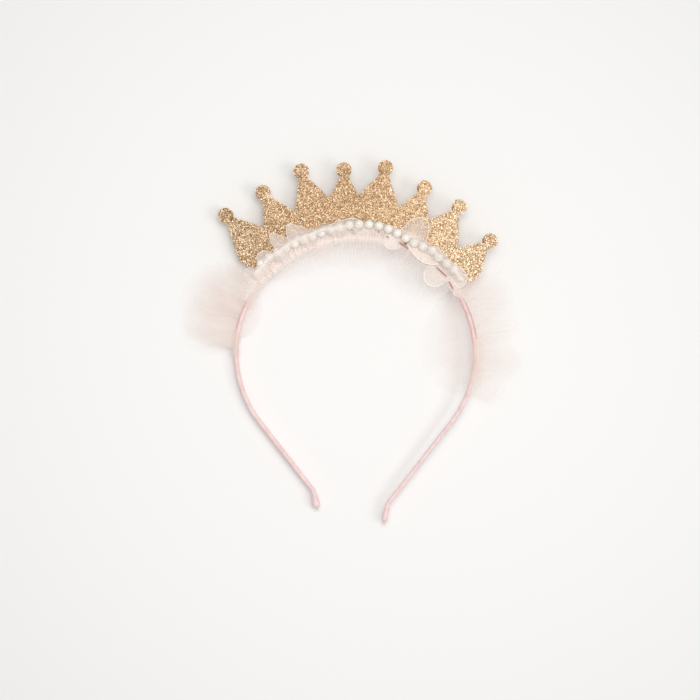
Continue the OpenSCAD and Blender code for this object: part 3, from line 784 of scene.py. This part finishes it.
def ruffle_side(way, seed):
    """Grid of one side of the ruffle, outer for way 1 and inner for -1, from the stitch out."""
    degrees = np.degrees(ruffle_turns)
    reach = way * (eased(degrees, RUFFLE_EDGE, 1 if way > 0 else 2) * MM - PEARL_R)
    lift = eased(degrees, RUFFLE_EDGE, 3) * MM
    phase = 2 * math.pi * (FLUTES * ruffle_shares + 1.3 * wander(ruffle_shares, seed, 9))
    swell = 0.85 + 0.5 * wander(ruffle_shares, seed + 1, 12)
    crest = (1 - np.cos(phase)) / 2
    uneven = 0.8 + 0.5 * wander(ruffle_shares, seed + 4, 25)
    pucker = PUCKER * (0.5 + 0.5 * np.cos(2 * phase + 2)) * uneven
    outs = np.linspace(0, 1, RUFFLE_ROWS)
    grid = []
    for v in outs:
        fold = v ** 0.8
        r = PEARL_R + way * reach * v * (0.96 + 0.05 * crest * swell)
        r = r + 0.3 * MM * fold * wander(ruffle_shares, seed + 2, 20)
        swing = 0.35 * fold * 2 * RUFFLE_TURN / FLUTES * np.sin(phase) * swell
        z = RUFFLE_Z + fold * lift * crest * swell + 0.2 * MM * fold * wander(ruffle_shares, seed + 3, 30)
        z = z + pucker * math.sin(math.pi * min(1, 1.6 * v))
        flat = r[:, None] * outwards(ruffle_turns + swing)
        grid.append(np.column_stack([flat, np.maximum(z, RUFFLE_LOWEST)]))
    thin = 0.3 * outs ** 3 if way > 0 else 0.12 * outs + 0.6 * outs ** 7
    return np.stack(grid, axis=1), thin, outs


def smooth_path(points, count):
    """Smooth curve through points, as count points at even shares of its way."""
    points = np.asarray(points, float)
    steps = np.concatenate([[0], np.cumsum(np.linalg.norm(np.diff(points, axis=0), axis=1))])
    slopes = np.gradient(points, steps, axis=0)
    at = np.linspace(0, steps[-1], count)
    k = np.clip(np.searchsorted(steps, at, side="right") - 1, 0, len(points) - 2)
    width = (steps[k + 1] - steps[k])[:, None]
    t = (at - steps[k])[:, None] / width
    return (
        (1 + 2 * t) * (1 - t) ** 2 * points[k] + t * (1 - t) ** 2 * width * slopes[k]
        + t * t * (3 - 2 * t) * points[k + 1] + t * t * (t - 1) * width * slopes[k + 1]
    )


def gathered_lobe(root, edge, root_z, edge_z, lowest, fold_pitch, fold_height, seed, ease=0.7):
    """Grid of cloth that fans out in folds from the line on which it is gathered to its edge."""
    u = np.linspace(0, 1, len(root))
    outs = np.linspace(0, 1, LOBE_ROWS)
    run = np.linalg.norm(np.diff(edge, axis=0), axis=1).sum()
    phase = 2 * math.pi * (round(run / fold_pitch) * u + 0.5 * wander(u, seed, 4))
    drift = wander(u, seed + 1, 6)
    across = np.gradient(edge, axis=0)
    across /= np.linalg.norm(across, axis=1)[:, None] + 1e-12
    grid = []
    for v in outs:
        swing = 0.5 * fold_height * v * np.sin(phase + 1)
        flat = root + (edge - root) * v + across * swing[:, None]
        folds = fold_height * v ** ease * (np.cos(phase) + 0.6 * drift)
        z = root_z + (edge_z - root_z) * v ** 1.2 + folds
        grid.append(np.column_stack([flat, np.maximum(z, lowest)]))
    rim = np.maximum(np.abs(2 * u - 1)[:, None], outs[None, :])
    return np.stack(grid, axis=1), outs, rim


def ruffle_lobe(gathers, edge, rise, hem_d, thin, seed):
    """Grid of one fan, lap, loop or veil of the ribbon."""
    start, stop, r = gathers
    turns = np.radians(np.linspace(start, stop, LOBE_COLUMNS))
    path = smooth_path([from_centre(turn, distance) for turn, distance in edge], LOBE_COLUMNS)
    inside = np.linalg.norm(path, axis=1) < INSIDE_BAND
    grid, outs, rim = gathered_lobe(
        r * MM * outwards(turns), path, RUFFLE_Z + 0.5 * MM, RUFFLE_Z + rise * MM,
        np.where(inside, HANGING_LOWEST, CROSSING_LOWEST), FOLD_PITCH,
        FOLD_HEIGHT if hem_d else VEIL_FOLD_HEIGHT, seed
    )
    return grid, thin[0] + (thin[1] - thin[0]) * outs, rim if hem_d else 0 * rim


def pearl_lap(turn_from, turn_to, inwards, outwards_by, thin, seed):
    """Grid of the ribbon where it laps the pearls, dipping a little between them."""
    degrees = np.linspace(turn_from, turn_to, round((turn_to - turn_from) / LAP_STEP_DEG))
    share = (degrees - turn_from) / (turn_to - turn_from)
    between = 0.5 - 0.5 * np.cos(2 * math.pi * degrees / math.degrees(PEARL_PITCH / PEARL_R))
    outs = np.linspace(0, 1, LAP_ROWS)
    ends = np.minimum(1, 9 * np.minimum(share, 1 - share))
    narrower = 0.25 + 0.75 * np.sin(math.pi * share) ** 0.55
    skew = 1.2 * (2 * share - 1) * (1 if seed % 2 else -1)
    grid = []
    for v in outs:
        side = 2 * v - 1
        uneven = 1 + 0.45 * wander(share, seed + (side > 0), 6)
        reach = (outwards_by if side > 0 else inwards) * narrower * uneven
        r = PEARL_R + MM * (side * reach + 0.25 * wander(share + 0.2 * side, seed + 5, 12))
        over = math.cos(math.pi / 2 * side) ** 0.7
        z = RUFFLE_Z + 0.5 * MM + (PEARL_TOP + 0.3 * MM - RUFFLE_Z - 0.45 * MM * between) * over * ends
        z = z + 0.55 * MM * over * wander(share + 0.15 * side, seed + 2, 11)
        lean = np.radians(degrees + skew * side)
        grid.append(np.column_stack([r[:, None] * outwards(lean), z]))
    thinner = thin + (0.45 - 0.5 * thin) * np.abs(2 * outs - 1)[None, :] + 0.2 * (1 - ends)[:, None]
    return np.stack(grid, axis=1), np.minimum(1, thinner), 0.9 * np.abs(2 * outs - 1)


ruffle_sides = [ruffle_side(1, 21), ruffle_side(-1, 31)]
fans = [ruffle_lobe(*row, seed=60 + 3 * i) for i, row in enumerate(RUFFLE_LOBES)]
laps = [pearl_lap(*row, seed=80 + i) for i, row in enumerate(LAPPED)]
ruffle_mesh = join_sheets("organza_ruffle", [*ruffle_sides, *fans, *laps])
ruffle = link_piece("organza_ruffle", ruffle_mesh, organza)
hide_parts("ruffle")
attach(ruffle, "root")
hem_paths = [(ruffle_sides[0][0][:, -1], HEM_D), (ruffle_sides[1][0][:, -1], INNER_HEM_D)]
hem_paths += [(fan[0][:, -1], row[3] * MM) for fan, row in zip(fans, RUFFLE_LOBES) if row[3]]
hem_paths += [(lap[0][:, 0], LAP_HEM_D) for lap in laps]
for number, (path, thickness) in enumerate(hem_paths, 1):
    hem_mesh = tube_mesh("selvedge", thread_tube(path, thickness))
    hem = link_piece(f"selvedge_{number:02d}", hem_mesh, hem_paint)
    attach(hem, "root")

# Pearls: drilled ivory beads with a soft lustre, strung on plain thread and sewn down along the
# middle of the ruffle.
PEARL_IVORY = (0.88, 0.86, 0.79, 1)
PEARL_ROSE = (0.93, 0.83, 0.76, 1)
# A faint glow painted in ivory lightens the pearls, which give no light of their own
PEARL_PAINTED_GLOW = 0.04

pearl_paint, pearl_tree, pearl_shader = new_material(
    "pearl", roughness=0.35, coat_weight=1.0, coat_roughness=0.1, coat_ior=1.6,
    emission_color=PEARL_IVORY, emission_strength=PEARL_PAINTED_GLOW
)
pearl_place = add_node(pearl_tree, "NewGeometry").outputs["Position"]
pearl_clouds = cloudy(pearl_tree, pearl_place, 320.0, high=0.5)
pearl_colour = mix_colour(pearl_tree, pearl_clouds, PEARL_IVORY, PEARL_ROSE)
pearl_tree.links.new(pearl_colour, pearl_shader.inputs["Base Color"])
thread_paint, thread_tree, thread_shader = new_material("pearl thread", roughness=0.7)
thread_place = add_node(thread_tree, "NewGeometry").outputs["Position"]
thread_twist = woven(thread_tree, thread_place, 30000.0, 30000.0)
thread_colour = mix_colour(thread_tree, thread_twist, HEM_WHITE, PEARL_IVORY)
thread_tree.links.new(thread_colour, thread_shader.inputs["Base Color"])
add_bump(thread_tree, thread_shader, 0.5, 0.05 * MM, thread_twist)
for name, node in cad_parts.items():
    if name.startswith("pearl_"):
        for slot in node.material_slots:
            slot.material = thread_paint if name == "pearl_thread" else pearl_paint
        if name != "pearl_thread":
            node.data.shade_smooth()

# Tufts: strips of soft pink tulle, gathered and sewn to the band above each ear with deep pink
# thread. They stand out from it in folded lobes, several layers of net deep, and here and there
# they lap over the band.
TULLE_PALE = (0.90, 0.81, 0.75, 1)
TULLE_PINK = (0.87, 0.73, 0.68, 1)
# Of each lobe: where it is sewn on, from and to along the strip; its edge from one side round to
# the other, across and up from the arc's centre; and the heights of its root and of its edge,
# None where it lies on the table
LEFT_LOBES = {
    "low": [
        (57, 97,
         [(-57, 48), (-68, 48.6), (-78, 46.2), (-85, 41.5), (-90, 32), (-91, 21.5), (-90, 9.5),
          (-84.5, 5), (-72.5, 1.6), (-61.5, 2)], 2.0, None),
        (62, 90,
         [(-54.5, 38), (-50, 32), (-48.5, 24), (-50, 15), (-55, 9), (-60, 7)], 3.0, None),
    ],
    "middle": [
        (58, 82,
         [(-56, 45), (-66, 46.5), (-76, 43.5), (-83, 36), (-84.5, 28), (-79, 21), (-62, 19)], 3.4, 6.0),
        (72, 96,
         [(-61.5, 32), (-76, 33), (-87, 27), (-89, 14), (-84, 5.5), (-72, 2.4), (-61.5, 2.6)], 3.4, 5.5),
    ],
    "top": [
        (58, 78,
         [(-55.5, 42), (-64, 44), (-72, 41), (-76, 34), (-75, 27), (-70, 22), (-61, 21)], 5.3, 10.0),
        (74, 96,
         [(-61, 27), (-72, 27), (-81, 20), (-83, 12), (-79, 5), (-70, 2.4), (-61.5, 3)], 5.3, 8.0),
    ],
}
RIGHT_LOBES = {
    "low": [
        (58, 92,
         [(53, 42), (60, 44.6), (70, 45), (78, 41), (82, 33), (83, 24), (83, 14), (76, 9), (63, 8)],
         2.0, None),
        (84, 113,
         [(63, 13), (78, 12), (86, 5), (87, -4), (82, -9), (78, -15), (72, -22), (64, -21), (57, -19)],
         2.0, None),
        # The last two lobes lie on the table inside the band. They are partly net and partly painted
        # shade: a thin sheet over the soft shade inside the right arc.
        (56, 110,
         [(50, 39), (43, 32), (36, 20), (33, 6), (35, -6), (43, -15), (54, -20)], 3.0, None),
        (56, 104,
         [(52, 36), (46, 30), (43, 16), (42, 4), (45, -5), (50, -11), (56, -15)], 2.4, None),
    ],
    "middle": [
        (60, 76,
         [(55, 41.5), (60.3, 44), (67, 45.2), (73.2, 45.8), (77.8, 41.5), (80.1, 35.4), (79.2, 30.2),
          (73.7, 27), (65.4, 27.2), (60.4, 29.5)], 3.4, 7.0),
        (74, 90,
         [(62, 24), (68, 21.6), (74, 21.6), (81.6, 20.6), (86, 17), (79, 15.2), (71.4, 15.6), (63, 16.5)],
         3.4, 7.0),
        (88, 105,
         [(63.4, 9), (70.6, 8.2), (76.8, 6.3), (82.5, 4.4), (86.6, 2.7), (88.4, -0.5), (86.5, -4.4),
          (82.2, -6.6), (75.4, -6.2), (63, -5)], 3.4, 6.5),
        (100, 113,
         [(62.5, -5), (70, -9), (76.6, -11.6), (77, -13.6), (74.6, -17.4), (72, -22), (70.5, -23.4),
          (66, -22.2), (60, -19.2), (57.6, -17.6)], 3.4, 4.0),
    ],
    "top": [
        (62, 84,
         [(57, 37), (64, 38.5), (73, 37), (78, 32), (77, 26), (71, 22.5), (62, 20)], 5.3, 10.0),
        (80, 106,
         [(62.5, 18), (72, 17), (80, 11), (81.5, 3), (77, -5), (69, -9), (61, -11)], 5.3, 9.0),
    ],
}
# Where net laps over the band: from and to along the strip, reach outwards and inwards, layers
LEFT_LAPS = [(52, 73.5, 5.5, 2.6, 3), (87, 99, 3, 1.9, 5)]
RIGHT_LAPS = [(54, 68, 5.5, 2.6, 6), (64, 92, 3.5, 2.2, 1), (85.5, 110, 5, 2.6, 7), (102, 121, 3.5, 2, 1)]
# Doubled edges of folded lobes, which show as soft lines: their route and their height
LEFT_FOLDS = [
    ([(-88.6, 6.6), (-84.4, 4.4), (-79.5, 2.6), (-72.2, 1.5), (-63.7, 2.1)], 5.5),
    ([(-73, 47), (-71.2, 45.7), (-69, 43.7), (-67.4, 41.2)], 6.0),
    ([(-82.3, 22.2), (-73, 20.6), (-65, 20.3)], 6.0),
    ([(-52.5, 26.2), (-54.5, 22), (-56.2, 18)], 3.0),
]
RIGHT_FOLDS = [
    ([(64.5, 38.4), (66, 41), (69.6, 44.2), (73.4, 45.6)], 7.0),
    ([(63, 29), (65.4, 27.6), (71.1, 26.9), (76.2, 27.2), (79.8, 29.4)], 7.0),
    ([(64, 21.4), (66.1, 21.1), (73.8, 21.4), (81.6, 20.4), (85.4, 17.6)], 7.0),
    ([(64, 17.6), (71.4, 16.4), (79.1, 15.7), (85.4, 16.6)], 7.0),
    ([(66, 9.4), (70.6, 8), (76.8, 6.1), (82.5, 4.2), (86.2, 2.8)], 6.5),
    ([(72, -5.4), (76.1, -6.1), (82.3, -6.5), (86, -4.6)], 6.5),
    ([(78, -10.6), (77.3, -12.6), (74.8, -16.8), (71.9, -21.5), (70.9, -23)], 4.0),
    ([(67, -8), (68.5, -9.9), (71.7, -15.3), (71.6, -20.5)], 4.0),
]
# Each layer is cut from strips of net of one width
NET_COLUMNS = 61
SEWN_GAP = 0.1 * MM
TABLE_GAP = 0.3 * MM
NET_LAP_COLUMNS = 31
NET_LAP_ROWS = 13
FOLD_W = 1.5 * MM
FOLD_STATIONS = 31
PLEAT_PITCH = 10 * MM
PLEAT_HEIGHT = 1.1 * MM
PLEAT_EASE = 1.6
SEWING_AND_SHADE_D = 0.55 * MM
STITCH_AND_SHADE_D = 0.75 * MM
STITCH_AND_SHADE_RISE = 2.8 * MM
STITCH_AND_SHADE_STATIONS = 13
# Rose tones of the ruffle's stitches, which also paint shade on the band beneath it
STITCH_AND_SHADE_ROSE = (0.42, 0.17, 0.15, 1)
STITCH_AND_SHADE_PALE = (0.6, 0.29, 0.27, 1)
# Pinks of the thread along the band, which also paints shade where the net meets it
SEWING_AND_SHADE_PINK = (0.66, 0.33, 0.32, 1)
SEWING_AND_SHADE_PALE = (0.78, 0.47, 0.45, 1)


def tulle_lobe(side, sewn_from, sewn_to, edge, root_z, edge_z, seed):
    """Grid of one lobe of net, from its gathers on the nearer face of the band to its edge."""
    middles, turns = along_strip(side * MM * np.linspace(sewn_from, sewn_to, NET_COLUMNS))
    edge = smooth_path(np.array(edge) * MM, NET_COLUMNS)
    halfway = NET_COLUMNS // 2
    way = 1 if (edge[halfway] - middles[halfway]) @ outwards(turns[halfway]) > 0 else -1
    root = middles + way * outwards(turns) * (STRIP_T / 2 + SEWN_GAP)
    table = floor_height(*edge.T) + TABLE_GAP
    edge_z = table if edge_z is None else edge_z * MM
    return gathered_lobe(
        root, edge, root_z * MM, edge_z, table, PLEAT_PITCH, PLEAT_HEIGHT, seed, PLEAT_EASE
    )


def fold_strip(route, height):
    """Grid of a narrow doubled strip of net along a folded edge, densest along its middle."""
    path = smooth_path(np.array(route) * MM, FOLD_STATIONS)
    ahead = np.gradient(path, axis=0)
    aside = np.column_stack([ahead[:, 1], -ahead[:, 0]]) / np.linalg.norm(ahead, axis=1)[:, None]
    shares = np.linspace(-1, 1, 5)
    taper = np.sin(np.linspace(0.15, math.pi - 0.15, FOLD_STATIONS))[:, None]
    level = np.full(FOLD_STATIONS, height * MM)
    grid = [np.column_stack([path + aside * taper * (share * FOLD_W / 2), level]) for share in shares]
    return np.stack(grid, axis=1), np.abs(shares), 0 * shares


def band_lap(side, start, stop, out_reach, in_reach, layer):
    """Grid of one layer of net over the band's upper edge, thinnest at its own edges."""
    middles, turns = along_strip(side * MM * np.linspace(start, stop, NET_LAP_COLUMNS))
    along = np.linspace(-1, 1, NET_LAP_COLUMNS)
    across = np.linspace(-1, 1, NET_LAP_ROWS)
    uneven = 1 + 0.2 * wander(along / 2, 300 + 7 * layer, 4)
    grid = []
    for a in across:
        reach = MM * (out_reach if a > 0 else in_reach) * uneven
        z = STRIP_W + 0.15 * MM * (layer + 1) - 2.2 * MM * a * a
        flat = middles + outwards(turns) * (a * reach)[:, None]
        grid.append(np.column_stack([flat, np.full(NET_LAP_COLUMNS, z)]))
    outs = np.minimum(1, np.hypot(np.abs(across)[None, :], np.abs(along)[:, None] ** 2))
    return np.stack(grid, axis=1), outs, 0 * outs


tulle = {
    side: sheer_material(
        f"tulle, {label}", (TULLE_PALE, TULLE_PINK), glow=0.08, covers=(cover, 0.02, 0.0), fall=2.2,
        streaks=0.12, fineness=0.1, detail=1.0, threads=8.4, grain=0.15
    )
    for side, label, cover in ((-1, "left", 0.25), (1, "right", 0.15))
}
for side, label, lobes, folds, laps in (
    (-1, "left", LEFT_LOBES, LEFT_FOLDS, LEFT_LAPS),
    (1, "right", RIGHT_LOBES, RIGHT_FOLDS, RIGHT_LAPS),
):
    for number, (layer, rows) in enumerate(lobes.items()):
        sheets = [tulle_lobe(side, *row, seed=40 + 20 * number + 3 * i) for i, row in enumerate(rows)]
        if layer == "middle":
            sheets += [fold_strip(*fold) for fold in folds]
        if layer == "top":
            sheets += [band_lap(side, *lap[:4], layer=k) for lap in laps for k in range(lap[4])]
        mesh = join_sheets(f"net_{label}_{layer}", sheets)
        net = link_piece(f"net_{label}_{layer}", mesh, tulle[side])
        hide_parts(f"tulle_{label}_{layer}")
        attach(net, "root")


def thread_and_shade_material(name, dark, pale):
    """Twisted polyester thread for sewing, in two tones; along the band and over the ruffle it also
    stands in for painted shade.
    """
    material, tree, shader = new_material(name, roughness=0.6, sheen_weight=0.2)
    place = add_node(tree, "NewGeometry").outputs["Position"]
    twist = woven(tree, place, 9000.0, 9000.0)
    tree.links.new(mix_colour(tree, twist, dark, pale), shader.inputs["Base Color"])
    return material


sewing_and_shade_paint = thread_and_shade_material("sewing thread and painted shade", SEWING_AND_SHADE_PINK, SEWING_AND_SHADE_PALE)
stitch_and_shade_paint = thread_and_shade_material("ruffle stitch and painted shade", STITCH_AND_SHADE_ROSE, STITCH_AND_SHADE_PALE)
# Dark rose threads over the ruffle: from and to, as turn and distance from the arc's centre. The
# short ones are stitches that show through it; the three long ones are painted shade on the band,
# seen between the ruffle's folds.
RUFFLE_STITCHES_AND_SHADE = [
    ((-3.6, 65.4), (-2.8, 65)), ((13, 63.8), (13.9, 63.2)), ((19.4, 62.8), (24.4, 61.4)),
    ((8.8, 65.4), (9.4, 64.9)), ((40.7, 61.8), (47, 62.2)), ((49.6, 61.4), (53.6, 60.9)),
]
for number, (start, stop) in enumerate(RUFFLE_STITCHES_AND_SHADE, 1):
    first, last = from_centre(*start), from_centre(*stop)
    shares = np.linspace(0, 1, STITCH_AND_SHADE_STATIONS)[:, None]
    height = RUFFLE_Z + STITCH_AND_SHADE_RISE + 0.2 * MM * np.sin(math.pi * shares)
    stitch_and_shade_path = np.hstack([first * (1 - shares) + last * shares, height])
    stitch_and_shade_rings = thread_tube(stitch_and_shade_path, STITCH_AND_SHADE_D, 8)
    stitch = link_piece(f"ruffle_stitch_and_shade_{number}", tube_mesh("stitch", stitch_and_shade_rings), stitch_and_shade_paint)
    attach(stitch, "root")
# Dark pink thread along the strip's faces where the net is gathered, partly seams and partly
# painted shade at the net's foot: from and to along the strip, and the face of the strip, outer for 1
SEWING_AND_SHADE_RUNS = [(-66, -84, 1), (65, 87, 1), (64, 89, -1)]
SEWING_AND_SHADE_STATIONS = 60
for number, (start, stop, face) in enumerate(SEWING_AND_SHADE_RUNS, 1):
    middles, turns = along_strip(MM * np.linspace(start, stop, SEWING_AND_SHADE_STATIONS))
    flat = middles + face * outwards(turns) * (STRIP_T / 2 - 0.05 * MM)
    height = STRIP_W - 0.15 * MM + 0.1 * MM * np.sin(np.arange(SEWING_AND_SHADE_STATIONS) * 0.9)
    sewing_and_shade_rings = thread_tube(np.column_stack([flat, height]), SEWING_AND_SHADE_D, 8)
    stitches = link_piece(f"sewing_{number}", tube_mesh("sewing", sewing_and_shade_rings), sewing_and_shade_paint)
    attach(stitches, "root")
